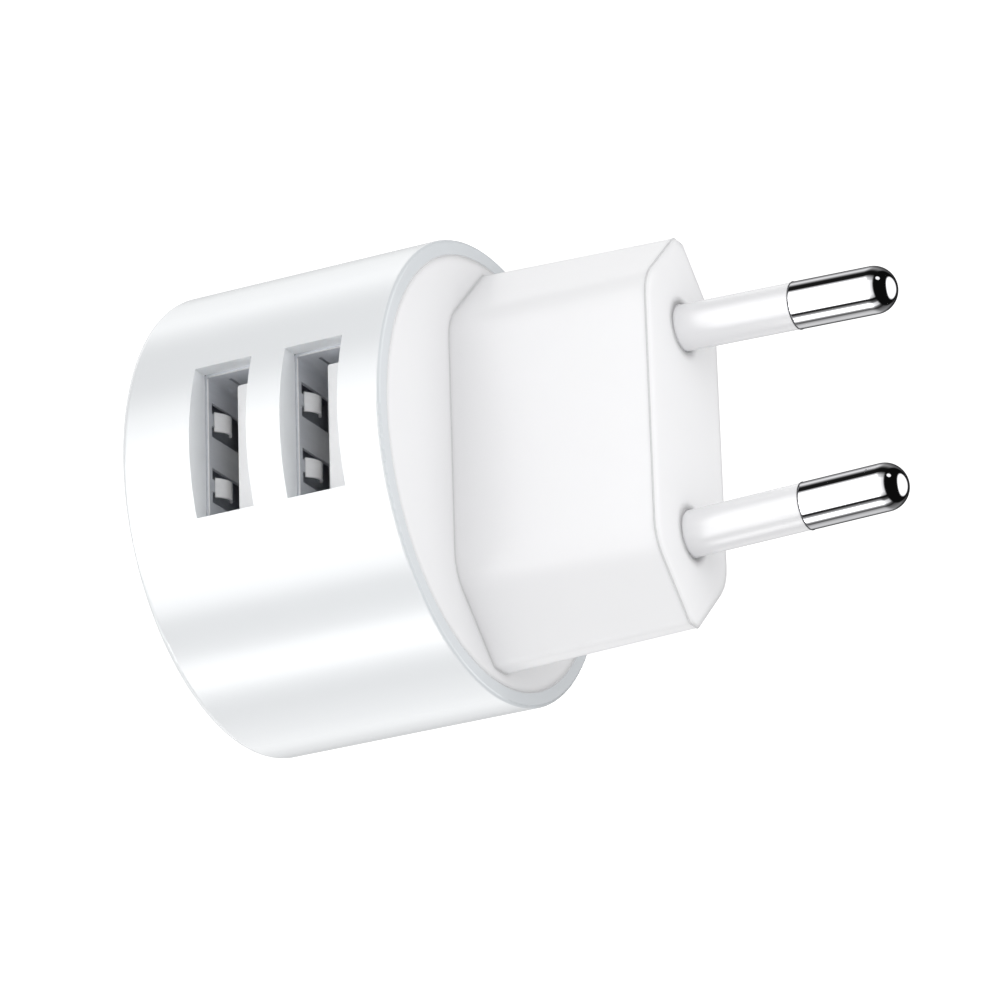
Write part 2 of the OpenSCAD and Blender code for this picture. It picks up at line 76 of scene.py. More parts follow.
def add_camera():
    back = Vector((
        math.sin(CAMERA_AZIMUTH) * math.cos(CAMERA_ELEVATION),
        -math.cos(CAMERA_AZIMUTH) * math.cos(CAMERA_ELEVATION),
        math.sin(CAMERA_ELEVATION),
    ))
    level = Vector((math.cos(CAMERA_AZIMUTH), math.sin(CAMERA_AZIMUTH), 0.0))
    upright = back.cross(level)
    right = level * math.cos(CAMERA_ROLL) + upright * math.sin(CAMERA_ROLL)
    up = back.cross(right)
    data = bpy.data.cameras.new("camera")
    data.sensor_width = CAMERA_SENSOR
    data.lens = CAMERA_LENS
    data.clip_start, data.clip_end = CAMERA_CLIP
    camera = link_new("camera", data)
    turn = Matrix((right, up, back)).transposed().to_4x4()
    camera.matrix_world = Matrix.Translation(CAMERA_AIM + back * CAMERA_DISTANCE) @ turn
    bpy.context.scene.camera = camera


def add_floor():
    """A white floor that glows as brightly as the sky around it, so the horizon doesn't show."""
    bm = bmesh.new()
    bmesh.ops.create_circle(bm, cap_ends=True, segments=FLOOR_SIDES, radius=FLOOR_RADIUS)
    mesh = bpy.data.meshes.new("floor")
    bm.to_mesh(mesh)
    bm.free()
    floor = link_new("floor", mesh)
    floor.location.z = -FLOOR_DROP
    mat = bpy.data.materials.new("floor_white")
    mat.use_nodes = True
    shader = mat.node_tree.nodes["Principled BSDF"]
    shader.inputs["Base Color"].default_value = (0.0, 0.0, 0.0, 1.0)
    shader.inputs["Specular IOR Level"].default_value = 0.0
    shader.inputs["Emission Color"].default_value = (1.0, 1.0, 1.0, 1.0)
    shader.inputs["Emission Strength"].default_value = WHITE_LEVEL
    mesh.materials.append(mat)
    # Only the camera sees it: the light on the object comes from the sky and the studio's
    # panels, which also stand below the table.
    floor.visible_glossy = False
    floor.visible_diffuse = False


# The camera sees pure white around the object.  Matte surfaces are lit by a sky that is a
# little brighter below than above.
WHITE_LEVEL = 1.2
SKY_ABOVE = 0.98
SKY_BELOW = 1.06
# The heights between which the lower sky turns into the upper one, from -1 to 1.
SKY_TURN = (-0.5, 0.4)
# The studio seen in glossy surfaces: tall light panels and black flags around the object.
# Each row is a compass angle, from -Y towards +X in degrees, and the brightness there.
PANEL_GAIN = 8.0
PANELS = [
    (-180, 0.5), (-140, 0.7), (-128, 1.3), (-115, 1.6), (-103, 2.3), (-96, 1.5), (-90, 0.8),
    (-84, 0.2), (-78, 0.01), (-58, 0.01), (-50, 1.3), (-42, 3.5), (-31, 5.0),
    (-24, 8.0), (40, 8.0), (48, 6.0), (55, 4.5), (62, 0.02), (68, 0.02),
    (74, 0.4), (80, 1.0), (88, 6.0), (100, 6.0), (107, 1.5), (114, 0.4), (120, 0.15),
    (131, 0.9), (142, 1.4), (160, 2.0), (172, 0.9),
]
# How much of a panel is left at each height, from -1 straight down to 1 straight up.
PANEL_HEIGHTS = [(-1.0, 1.0), (-0.36, 1.0), (-0.05, 0.3), (0.2, 0.2), (0.36, 0.0)]
DARK_LEVEL = 0.008
# A big round softbox overhead and a small spot: compass angle, height angle, outer and inner
# radius in degrees, brightness.
LAMPS = [(-165.0, 62.0, 38.0, 31.0, 2.5), (-45.0, 35.0, 10.0, 7.0, 2.0)]


def compass_direction(angle, height):
    angle, height = math.radians(angle), math.radians(height)
    return Vector((
        math.sin(angle) * math.cos(height),
        -math.cos(angle) * math.cos(height),
        math.sin(height),
    ))


class Studio:
    """The world's nodes: an even white sky, and the light panels for mirror rays."""

    def __init__(self):
        world = bpy.data.worlds.new("studio")
        bpy.context.scene.world = world
        world.use_nodes = True
        # Every ray then meets the sky itself, so that mirror rays alone see the panels.
        world.cycles.sampling_method = "NONE"
        self.tree = world.node_tree
        self.tree.nodes.clear()
        self.link = self.tree.links.new
        self.sky_direction = self.add("TexCoord").outputs["Generated"]
        split = self.add("SeparateXYZ")
        self.link(self.sky_direction, split.inputs[0])
        away = self.math("MULTIPLY", split.outputs["Y"], -1.0)
        compass = self.math("ARCTAN2", split.outputs["X"], away)
        around = self.ramp(
            self.rescale(compass, -math.pi, math.pi),
            [((a + 180.0) / 360.0, level / PANEL_GAIN) for a, level in PANELS],
        )
        upward = self.ramp(
            self.rescale(split.outputs["Z"], -1.0, 1.0),
            [((z + 1.0) / 2.0, level) for z, level in PANEL_HEIGHTS],
        )
        level = self.math("MULTIPLY", self.math("MULTIPLY", around, upward), PANEL_GAIN)
        level = self.math("ADD", level, DARK_LEVEL)
        for lamp in LAMPS:
            level = self.math("ADD", level, self.lamp(*lamp))
        rays = self.add("LightPath")
        soft = self.rescale(split.outputs["Z"], *SKY_TURN, "SMOOTHSTEP")
        sky = self.blend(soft, SKY_BELOW, SKY_ABOVE)
        seen = self.blend(rays.outputs["Is Glossy Ray"], sky, level)
        seen = self.blend(rays.outputs["Is Camera Ray"], seen, WHITE_LEVEL)
        background = self.add("Background")
        self.link(seen, background.inputs["Strength"])
        self.link(background.outputs[0], self.add("OutputWorld").inputs["Surface"])

    def add(self, kind):
        return self.tree.nodes.new("ShaderNode" + kind)

    def feed(self, value, socket):
        if isinstance(value, float):
            socket.default_value = value
        else:
            self.link(value, socket)

    def math(self, operation, first, second):
        node = self.add("Math")
        node.operation = operation
        self.feed(first, node.inputs[0])
        self.feed(second, node.inputs[1])
        return node.outputs[0]

    def blend(self, share, first, second):
        node = self.add("Mix")
        node.data_type = "FLOAT"
        self.link(share, node.inputs["Factor"])
        self.feed(first, node.inputs["A"])
        self.feed(second, node.inputs["B"])
        return node.outputs["Result"]

    def rescale(self, value, low, high, interpolation="LINEAR"):
        node = self.add("MapRange")
        node.interpolation_type = interpolation
        node.inputs["From Min"].default_value = low
        node.inputs["From Max"].default_value = high
        self.link(value, node.inputs["Value"])
        return node.outputs["Result"]

    def ramp(self, value, stops):
        node = self.add("ValToRGB")
        node.color_ramp.interpolation = "EASE"
        elements = node.color_ramp.elements
        elements.remove(elements[1])
        elements[0].position = stops[0][0]
        elements[0].color = [stops[0][1]] * 3 + [1.0]
        for place, level in stops[1:]:
            elements.new(place).color = [level] * 3 + [1.0]
        self.link(value, node.inputs["Fac"])
        return node.outputs["Color"]

    def lamp(self, angle, height, outer, inner, brightness):
        facing = self.add("VectorMath")
        facing.operation = "DOT_PRODUCT"
        facing.inputs[1].default_value = compass_direction(angle, height)
        self.link(self.sky_direction, facing.inputs[0])
        edge = self.rescale(
            facing.outputs["Value"],
            math.cos(math.radians(outer)),
            math.cos(math.radians(inner)),
            "SMOOTHSTEP",
        )
        return self.math("MULTIPLY", edge, brightness)


# Square soft lights: place, the point they face and width, all in millimetres, and watts.
SOFTBOXES = {
    "front_softbox": ((0.0, -28.0, 92.0), (0.0, 0.0, 35.0), 50.0, 0.0125),
    "left_softbox": ((-115.0, -35.0, 0.0), (0.0, 0.0, 12.0), 60.0, 0.028),
    "port_softbox": ((48.0, -105.0, 45.0), (0.0, -17.0, 14.0), 40.0, 0.006),
    "right_softbox": ((120.0, 0.0, 0.0), (0.0, 0.0, 12.0), 60.0, 0.018),
}


def add_softbox(name, place, target, size, watts):
    """A square area light for the soft light and shade; mirror rays don't see it."""
    place, target = Vector(place) * mm, Vector(target) * mm
    data = bpy.data.lights.new(name, "AREA")
    data.size = size * mm
    data.energy = watts
    light = link_new(name, data)
    light.matrix_world = (
        Matrix.Translation(place) @ (place - target).to_track_quat("Z", "Y").to_matrix().to_4x4()
    )
    light.visible_glossy = False
    light.visible_camera = False


# ---------------------------------------------------------------- materials

# How open to the light a corner is, from 0 to 1, where it is darkest.
CORNER_DARKEST = 0.4
CORNER_SAMPLES = 8
EDGE_SAMPLES = 6
# How far a surface turns away from the eye, from 0 to 1, while its gloss fades.
GLOSS_FADE = (0.4, 0.95)
# Painted shade: the housing's rim, which faces up, is painted a little greyer than its side; the
# height is in millimetres.
RIM_SHADE = (0.70, 0.73, 0.755)
RIM_SHADE_START = 24.45
RIM_SHADE_FADE = 0.1


class Surface:
    """A principled material that is built up from noise in the object's own coordinates."""

    def __init__(self, name, colour, roughness, metallic=0.0):
        self.material = bpy.data.materials.new(name)
        self.material.use_nodes = True
        self.tree = self.material.node_tree
        self.shader = self.tree.nodes["Principled BSDF"]
        self.colour = colour
        self.shader.inputs["Base Color"].default_value = (*colour, 1.0)
        self.shader.inputs["Roughness"].default_value = roughness
        self.shader.inputs["Metallic"].default_value = metallic
        self.coords = self.tree.nodes.new("ShaderNodeTexCoord")

    def noise(self, size, detail=3.0, stretch=(1.0, 1.0, 1.0)):
        """Noise with features of about this size in millimetres, drawn out by stretch."""
        mapping = self.tree.nodes.new("ShaderNodeMapping")
        mapping.inputs["Scale"].default_value = [1.0 / s for s in stretch]
        self.tree.links.new(self.coords.outputs["Object"], mapping.inputs["Vector"])
        texture = self.tree.nodes.new("ShaderNodeTexNoise")
        texture.inputs["Scale"].default_value = 1.0 / (size * mm)
        texture.inputs["Detail"].default_value = detail
        self.tree.links.new(mapping.outputs[0], texture.inputs["Vector"])
        return texture.outputs["Fac"]

    def between(self, value, low, high, start=0.2, end=0.8):
        """Maps a noise from its usual range onto low..high."""
        node = self.tree.nodes.new("ShaderNodeMapRange")
        node.interpolation_type = "SMOOTHSTEP"
        node.inputs["From Min"].default_value = start
        node.inputs["From Max"].default_value = end
        node.inputs["To Min"].default_value = low
        node.inputs["To Max"].default_value = high
        self.tree.links.new(value, node.inputs["Value"])
        return node.outputs["Result"]

    def vary_roughness(self, value, low, high):
        self.tree.links.new(self.between(value, low, high), self.shader.inputs["Roughness"])

    def vary_colour(self, value, other, start=0.3, end=0.7):
        """Blends from the base colour to another one as the value rises."""
        ramp = self.tree.nodes.new("ShaderNodeValToRGB")
        ramp.color_ramp.elements[0].position = start
        ramp.color_ramp.elements[1].position = end
        ramp.color_ramp.elements[0].color = (*self.colour, 1.0)
        ramp.color_ramp.elements[1].color = (*other, 1.0)
        self.tree.links.new(value, ramp.inputs["Fac"])
        self.tree.links.new(ramp.outputs["Color"], self.shader.inputs["Base Color"])

    def bump(self, value, depth):
        """Adds relief this deep, in millimetres."""
        node = self.tree.nodes.new("ShaderNodeBump")
        node.inputs["Strength"].default_value = 1.0
        node.inputs["Distance"].default_value = depth * mm
        self.tree.links.new(value, node.inputs["Height"])
        self.tree.links.new(node.outputs["Normal"], self.shader.inputs["Normal"])

    def blend_colour(self, share, colour):
        """Blends the colour so far with this one, by a share from 0 to 1."""
        mix = self.tree.nodes.new("ShaderNodeMix")
        mix.data_type = "RGBA"
        mix.inputs["B"].default_value = (*colour, 1.0)
        socket = self.shader.inputs["Base Color"]
        self.tree.links.new(socket.links[0].from_socket, mix.inputs["A"])
        self.tree.links.new(share, mix.inputs["Factor"])
        self.tree.links.new(mix.outputs["Result"], socket)

    def shade_above(self, height, fade, colour):
        """Paints shade into the colour above this height, in millimetres, such as on the housing's
        rim, which faces up.
        """
        split = self.tree.nodes.new("ShaderNodeSeparateXYZ")
        self.tree.links.new(self.coords.outputs["Object"], split.inputs[0])
        share = self.between(split.outputs["Z"], 0.0, 1.0, height * mm, (height + fade) * mm)
        self.blend_colour(share, colour)

    def shade_corners(self, reach, factor):
        """Darkens inner corners, which less light gets into, over this reach in millimetres."""
        open_sky = self.tree.nodes.new("ShaderNodeAmbientOcclusion")
        open_sky.samples = CORNER_SAMPLES
        open_sky.inputs["Distance"].default_value = reach * mm
        share = self.between(open_sky.outputs["AO"], 1.0, 0.0, CORNER_DARKEST, 1.0)
        self.blend_colour(share, shade(self.colour, factor))

    def round_edges(self, radius):
        """Shades the edges as if they were rounded to this radius in millimetres."""
        node = self.tree.nodes.new("ShaderNodeBevel")
        node.samples = EDGE_SAMPLES
        node.inputs["Radius"].default_value = radius * mm
        self.tree.links.new(node.outputs["Normal"], self.shader.inputs["Normal"])

    def fade_gloss(self, facing, grazing):
        """Gives a soft plastic less gloss towards its outline than a plain varnish has."""
        weight = self.tree.nodes.new("ShaderNodeLayerWeight")
        weight.inputs["Blend"].default_value = 0.5
        level = self.between(weight.outputs["Facing"], facing, grazing, *GLOSS_FADE)
        self.tree.links.new(level, self.shader.inputs["Specular IOR Level"])


def shade(colour, factor):
    """The same colour, darker by this factor."""
    return tuple(min(1.0, c * factor) for c in colour)


def gloss_white():
    s = Surface("gloss_white", (0.87, 0.89, 0.908), 0.205)
    s.vary_colour(s.noise(4.0), (0.875, 0.895, 0.911), 0.0, 1.0)
    # Painted shade: the rim, which faces up, is painted greyer than the side.
    s.shade_above(RIM_SHADE_START, RIM_SHADE_FADE, RIM_SHADE)
    s.vary_roughness(s.noise(3.0), 0.195, 0.215)
    s.fade_gloss(0.7, 0.2)
    s.bump(s.noise(2.0), 0.001)
    return s.material


def satin_white():
    s = Surface("satin_white", (0.875, 0.875, 0.887), 0.30)
    s.vary_colour(s.noise(3.0), (0.881, 0.881, 0.891), 0.0, 1.0)
    s.vary_roughness(s.noise(2.0), 0.285, 0.33)
    s.fade_gloss(0.22, 0.12)
    s.shade_corners(9.5, 0.90)
    s.round_edges(1.0)
    return s.material


def sleeve_white():
    s = Surface("sleeve_white", (0.77, 0.77, 0.785), 0.24)
    s.vary_colour(s.noise(0.9, 3.0, (1.0, 1.0, 12.0)), (0.79, 0.79, 0.80))
    s.vary_roughness(s.noise(1.5), 0.22, 0.26)
    s.fade_gloss(0.55, 0.2)
    s.bump(s.noise(2.0), 0.001)
    return s.material


def pin_chrome():
    s = Surface("pin_chrome", (0.63, 0.63, 0.64), 0.05, metallic=1.0)
    # Darker just short of its outline, far more so than real chromium: this stands in for the
    # grey surroundings that the studio's panels leave out.
    s.shader.inputs["Specular Tint"].default_value = (0.15, 0.15, 0.15, 1.0)
    s.vary_colour(s.noise(2.0), (0.60, 0.60, 0.62))
    s.vary_roughness(s.noise(0.4), 0.03, 0.06)
    s.bump(s.noise(0.05, 2.0, (12.0, 12.0, 1.0)), 0.00004)
    return s.material


def sheet_steel(name, colour, low, high, metallic):
    """Rolled and plated sheet, with its rolling lines along the port."""
    s = Surface(name, colour, (low + high) / 2, metallic)
    s.vary_colour(s.noise(0.5, 4.0, (1.0, 8.0, 1.0)), shade(colour, 0.95))
    s.vary_roughness(s.noise(0.2, 3.0, (1.0, 10.0, 1.0)), low, high)
    s.bump(s.noise(0.06, 2.0, (1.0, 25.0, 1.0)), 0.0002)
    return s.material


def matte(name, colour, other, grain, depth, low=0.5, high=0.65):
    """A plain matte body: speckled colour, uneven roughness and a fine grain in relief."""
    s = Surface(name, colour, (low + high) / 2)
    s.vary_colour(s.noise(grain * 2, 4.0), other)
    s.vary_roughness(s.noise(grain * 4), low, high)
    s.bump(s.noise(grain, 3.0), depth)
    return s.material


# Colour, lowest and highest roughness, and how metallic it is.
SHEET_STEELS = {
    "shell_steel": ((0.70, 0.72, 0.76), 0.45, 0.55, 0.25),
    # Painted light: the fingers are the shell's own steel, painted far lighter so that they look
    # lit.
    "finger_steel": ((0.95, 0.95, 0.955), 0.40, 0.50, 0.12),
    # Painted highlight: the lip is the shell's own steel, painted near white so that it looks lit.
    "lip_steel_lit": ((0.97, 0.97, 0.975), 0.40, 0.50, 0.05),
    "contact_plate": ((0.80, 0.76, 0.66), 0.18, 0.28, 1.0),
}
# Colour, the speckles' colour, the grain's size and depth in millimetres, and any roughness
# of its own.
MATTES = {
    "backing_grey": ((0.42, 0.45, 0.50), (0.45, 0.48, 0.53), 0.2, 0.002),
    # Painted shade: grey for the shadow lines in the end cap's seam and in the crease at the
    # block's foot.
    "seam_shadow_grey": ((0.60, 0.60, 0.61), (0.64, 0.64, 0.65), 0.2, 0.001),
    # Painted shade: near black for the shadow in the gap where each pin's sleeve ends.
    "joint_shadow_dark": ((0.05, 0.05, 0.055), (0.07, 0.07, 0.075), 0.2, 0.001),
    "tongue_white": ((0.98, 0.98, 0.985), (0.965, 0.965, 0.97), 0.08, 0.002),
    "board_black": ((0.035, 0.038, 0.042), (0.045, 0.048, 0.052), 0.2, 0.01, 0.25, 0.35),
    "chip_black": ((0.02, 0.02, 0.022), (0.035, 0.035, 0.037), 0.06, 0.004),
    "barrier_sheet": ((0.85, 0.83, 0.74), (0.82, 0.80, 0.70), 0.3, 0.003),
    "ferrite_grey": ((0.07, 0.07, 0.08), (0.10, 0.10, 0.11), 0.05, 0.006),
    "bobbin_black": ((0.03, 0.03, 0.033), (0.045, 0.045, 0.05), 0.1, 0.004),
    "tape_yellow": ((0.90, 0.66, 0.06), (0.85, 0.60, 0.05), 0.4, 0.004, 0.2, 0.35),
    "can_black": ((0.02, 0.02, 0.025), (0.03, 0.03, 0.035), 0.3, 0.002, 0.25, 0.35),
    "can_green": ((0.03, 0.17, 0.11), (0.04, 0.19, 0.12), 0.3, 0.002, 0.25, 0.35),
    "dipped_blue": ((0.06, 0.18, 0.52), (0.08, 0.22, 0.56), 0.25, 0.01, 0.3, 0.45),
    "resistor_green": ((0.09, 0.30, 0.22), (0.12, 0.33, 0.25), 0.1, 0.008),
    "wire_brown": ((0.25, 0.10, 0.04), (0.28, 0.12, 0.05), 0.2, 0.002, 0.35, 0.5),
    "wire_blue": ((0.05, 0.15, 0.50), (0.06, 0.17, 0.53), 0.2, 0.002, 0.35, 0.5),
}
MATERIALS = {
    "gloss_white": gloss_white(),
    "satin_white": satin_white(),
    "sleeve_white": sleeve_white(),
    "pin_chrome": pin_chrome(),
}
MATERIALS.update((name, sheet_steel(name, *row)) for name, row in SHEET_STEELS.items())
MATERIALS.update((name, matte(name, *row)) for name, row in MATTES.items())


def paint(piece, slot):
    piece.data.materials.clear()
    piece.data.materials.append(MATERIALS[slot])


# ---------------------------------------------------------------- rounded edges

# Angles in degrees: faces this flat are joined first, and edges this sharp are rounded.
FLAT_ANGLE = 0.6
SHARP_ANGLE = 35.0
FACE_WEIGHT = 80


def soften(piece, width, segments, clean=True):
    """Rounds the sharp edges of a part by this many millimetres, as moulding and plating do."""
    if clean:
        flat = piece.modifiers.new("flat_faces", "DECIMATE")
        flat.decimate_type = "DISSOLVE"
        flat.angle_limit = math.radians(FLAT_ANGLE)
    bevel = piece.modifiers.new("rounded_edges", "BEVEL")
    bevel.width = width * mm
    bevel.segments = segments
    bevel.limit_method = "ANGLE"
    bevel.angle_limit = math.radians(SHARP_ANGLE)
    bevel.use_clamp_overlap = True
    bevel.harden_normals = False
    bevel.miter_outer = "MITER_ARC"
    smooth = piece.modifiers.new("even_shading", "WEIGHTED_NORMAL")
    smooth.keep_sharp = False
    smooth.weight = FACE_WEIGHT


# How far each part's edges are rounded, in millimetres.
ROUNDING = {
    "plug_base": (0.22, 3),
    "housing": (0.10, 2),
    "pin_1_sleeve": (0.05, 2),
    "pin_2_sleeve": (0.05, 2),
    "port_1_tongue": (0.06, 2),
    "port_2_tongue": (0.06, 2),
    "port_1_shell": (0.05, 2),
    "port_2_shell": (0.05, 2),
}


# ---------------------------------------------------------------- building blocks

# Metres: points this close together in a built piece, or in a CAD mesh, are the same point,
# and heights this close are level.
SAME_POINT = 1e-8
SAME_CAD_POINT = 1e-7
LEVEL = 1e-6
UPRIGHT = Vector((0.0, 0.0, 1.0))


def add_piece(name, bm, slot, body="charger", crease=40.0):
    """Turns a bmesh in row coordinates into a painted piece that rides a body."""
    mesh = bpy.data.meshes.new(name)
    bmesh.ops.recalc_face_normals(bm, faces=bm.faces)
    bm.to_mesh(mesh)
    bm.free()
    mesh.shade_smooth()
    mesh.set_sharp_from_angle(angle=math.radians(crease))
    piece = link_new(name, mesh)
    paint(piece, slot)
    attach(piece, body)
    return piece


def bridge(bm, rings, closed=True, capped=False):
    """Faces between successive rings of points; closed joins each ring's ends."""
    rows = [[bm.verts.new(point) for point in ring] for ring in rings]
    count = len(rows[0])
    for first, second in zip(rows, rows[1:]):
        for i in range(count if closed else count - 1):
            j = (i + 1) % count
            bm.faces.new((first[i], first[j], second[j], second[i]))
    if capped:
        bm.faces.new(rows[0])
        bm.faces.new(rows[-1])
    return rows


def turned(bm, base, axis, profile, segments=64, looped=False):
    """A turned shape round an axis; the profile is (radius, height along the axis) pairs."""
    side = axis.orthogonal().normalized()
    other = axis.cross(side)
    rings = []
    for radius, height in profile:
        ring = []
        for i in range(segments):
            turn = 2.0 * math.pi * i / segments
            out = side * math.cos(turn) + other * math.sin(turn)
            ring.append(base + axis * height + out * radius)
        rings.append(ring)
    if looped:
        rings.append(rings[0])
    bridge(bm, rings)
    bmesh.ops.remove_doubles(bm, verts=bm.verts, dist=SAME_POINT)


def tube(bm, path, radius, sides=8):
    """A thin round bead along a closed path of points."""
    count = len(path)
    rings = []
    for i in range(count):
        along = (path[(i + 1) % count] - path[i - 1]).normalized()
        flat = UPRIGHT if abs(along.z) <= 0.7 else Vector((0.0, 1.0, 0.0))
        out = along.cross(flat).normalized()
        up = out.cross(along)
        rings.append([
            path[i] + (out * math.cos(turn) + up * math.sin(turn)) * radius
            for turn in (2.0 * math.pi * k / sides for k in range(sides))
        ])
    bridge(bm, rings + [rings[0]])
    bmesh.ops.remove_doubles(bm, verts=bm.verts, dist=SAME_POINT)


def round_box_path(low, high, radius, y, steps=6):
    """Points round a rectangle with round corners in the plane of the port's mouth."""
    path = []
    corners = ((high.x, high.z, 0), (low.x, high.z, 90), (low.x, low.z, 180), (high.x, low.z, 270))
    for x, z, start in corners:
        middle_x = x - math.copysign(radius, x)
        middle_z = z - radius if z == high.z else z + radius
        for i in range(steps + 1):
            turn = math.radians(start + 90.0 * i / steps)
            path.append(Vector((
                middle_x + radius * math.cos(turn), y, middle_z + radius * math.sin(turn),
            )))
    return path


def rim_loops(node, z):
    """The loops of a CAD node's sharp edges round its flat top at this height, longest first."""
    bm = bmesh.new()
    bm.from_mesh(nodes[node].data)
    bm.transform(nodes[node].matrix_world)
    bmesh.ops.remove_doubles(bm, verts=bm.verts, dist=SAME_CAD_POINT)
    bm.normal_update()
    links = {}
    for edge in bm.edges:
        level = all(abs(v.co.z - z) < LEVEL for v in edge.verts)
        if level and sum(face.normal.z > 0.99 for face in edge.link_faces) == 1:
            for here, there in (edge.verts, reversed(edge.verts)):
                links.setdefault(here.index, []).append(there.index)
    bm.verts.ensure_lookup_table()
    loops = []
    left = set(links)
    while left:
        loop = [min(left)]
        left.discard(loop[0])
        while True:
            onward = [v for v in links[loop[-1]] if v in left]
            if not onward:
                break
            loop.append(onward[0])
            left.discard(onward[0])
        loops.append([bm.verts[v].co.copy() for v in loop])
    bm.free()
    return sorted(loops, key=loop_width, reverse=True)


def loop_width(loop):
    """How wide a loop of points is along X."""
    return max(point.x for point in loop) - min(point.x for point in loop)


def spread_out(loop, distance):
    """A level loop moved outwards by this many millimetres, square to its own line."""
    area = sum(p.x * q.y - q.x * p.y for p, q in zip(loop, loop[1:] + loop[:1]))
    turn = math.copysign(1.0, area)
    moved = []
    for i, point in enumerate(loop):
        before = (point - loop[i - 1]).normalized()
        after = (loop[(i + 1) % len(loop)] - point).normalized()
        along = before + after
        out = Vector((along.y, -along.x, 0.0)).normalized() * turn
        corner = max(0.5, out.dot(Vector((after.y, -after.x, 0.0)) * turn))
        moved.append(point + out * distance * mm / corner)
    return moved


# ---------------------------------------------------------------- the plug

# Millimetres.  Heights along a pin are measured from the end cap's face.
# The seam and crease shadow lines: thin grey beads of painted shade.
SEAM_SHADOW_R = 0.09
SEAM_SHADOW_DROP = 0.30
SEAM_SHADOW_PROUD = 0.02
CAP_EDGE_R = 0.35
SLEEVE_L = 10.5
JOINT_BEAD_R = 0.07
JOINT_INSET = 0.03
PIN_EDGE_R = 0.08
PIN_COLLAR_EDGE = 0.1
PIN_DOME_STEPS = 24
PIN_SIDES = 128
PIN_CREASE = 60.0
BEAD_SIDES = 8
PIN_NECK_R = 1.45
PIN_COLLAR_R = 2.7
PIN_COLLAR_TOP = -2.35
PIN_COLLAR_BOTTOM = -4.0
PIN_TAIL_R = 1.2
PIN_TAIL_END = -7.5
HOUSING_WALL = 1.3
# The fill's outline: distance out from the housing's inner wall, and height from the rim.
RIM_FILL = [
    (-0.28, -0.06), (-0.1, -0.04), (0.1, -0.04), (0.28, -0.08), (0.28, -0.2), (-0.28, -0.2),
]


def add_plug_seam_shadows():
    """Painted shadow lines: thin grey beads in the seam round the end cap and in the crease round
    the foot of the block.
    """
    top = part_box("plug_base")[1].z
    bm = bmesh.new()
    cap = spread_out(rim_loops("plug_base", top)[0], CAP_EDGE_R - SEAM_SHADOW_PROUD)
    tube(bm, [p - UPRIGHT * SEAM_SHADOW_DROP * mm for p in cap], SEAM_SHADOW_R * mm)
    add_piece("end_cap_seam_shadow", bm, "seam_shadow_grey")
    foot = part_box("housing")[1].z
    bm = bmesh.new()
    tube(bm, spread_out(rim_loops("plug_base", foot)[1], SEAM_SHADOW_PROUD), SEAM_SHADOW_R * mm)
    add_piece("block_foot_crease_shadow", bm, "seam_shadow_grey")


def pin_line(number):
    """Where a pin's middle line leaves the end cap, its direction, radius and straight length."""
    mount = next(m for m in frame["record"]["mounts"] if m["name"] == f"plug_pin_{number}")
    axis = Vector(mount["axis"])
    middle = Vector(mount["pos_m"])
    foot = middle - axis * ((middle.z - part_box("plug_base")[1].z) / axis.z)
    return foot, axis, mount["dims"]["r_mm"], mount["dims"]["length_mm"]


def add_turned(name, foot, axis, profile, slot, segments=64, looped=False, crease=40.0):
    """A turned piece from (radius, height) pairs in millimetres."""
    bm = bmesh.new()
    turned(bm, foot, axis, [(r * mm, h * mm) for r, h in profile], segments, looped)
    return add_piece(name, bm, slot, crease=crease)


def add_pin(number):
    """A turned pin: domed tip, neck under the sleeve, collar and tail inside the plug."""
    foot, axis, radius, crown = pin_line(number)
    edge = PIN_COLLAR_EDGE
    profile = [
        (0.0, PIN_TAIL_END),
        (PIN_TAIL_R - edge, PIN_TAIL_END),
        (PIN_TAIL_R, PIN_TAIL_END + edge),
        (PIN_TAIL_R, PIN_COLLAR_BOTTOM),
        (PIN_COLLAR_R - edge, PIN_COLLAR_BOTTOM),
        (PIN_COLLAR_R, PIN_COLLAR_BOTTOM + edge),
        (PIN_COLLAR_R, PIN_COLLAR_TOP - edge),
        (PIN_COLLAR_R - edge, PIN_COLLAR_TOP),
        (PIN_NECK_R, PIN_COLLAR_TOP),
        (PIN_NECK_R, SLEEVE_L),
        (radius - PIN_EDGE_R, SLEEVE_L),
        (radius - PIN_EDGE_R / 4, SLEEVE_L + PIN_EDGE_R / 4),
        (radius, SLEEVE_L + PIN_EDGE_R),
        # Close rings at both ends keep the shading straight along the bare metal.
        (radius, SLEEVE_L + PIN_EDGE_R * 1.5),
        (radius, crown - PIN_EDGE_R),
        (radius, crown),
    ]
    dome = [math.radians(90.0 * i / PIN_DOME_STEPS) for i in range(1, PIN_DOME_STEPS + 1)]
    profile += [(radius * math.cos(turn), crown + radius * math.sin(turn)) for turn in dome]
    pin = add_turned(
        f"pin_{number}_turned", foot, axis, profile, "pin_chrome", PIN_SIDES, crease=PIN_CREASE
    )
    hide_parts(f"pin_{number}")


def add_pin_joint_shadow(number):
    """A thin dark bead of painted shade in the gap between the sleeve and the pin's bare metal."""
    foot, axis, radius, _ = pin_line(number)
    bead = [
        (
            radius - JOINT_INSET + JOINT_BEAD_R * math.cos(turn),
            SLEEVE_L + JOINT_BEAD_R * math.sin(turn),
        )
        for turn in (2.0 * math.pi * k / BEAD_SIDES for k in range(BEAD_SIDES))
    ]
    add_turned(f"pin_{number}_joint_shadow", foot, axis, bead, "joint_shadow_dark", looped=True)


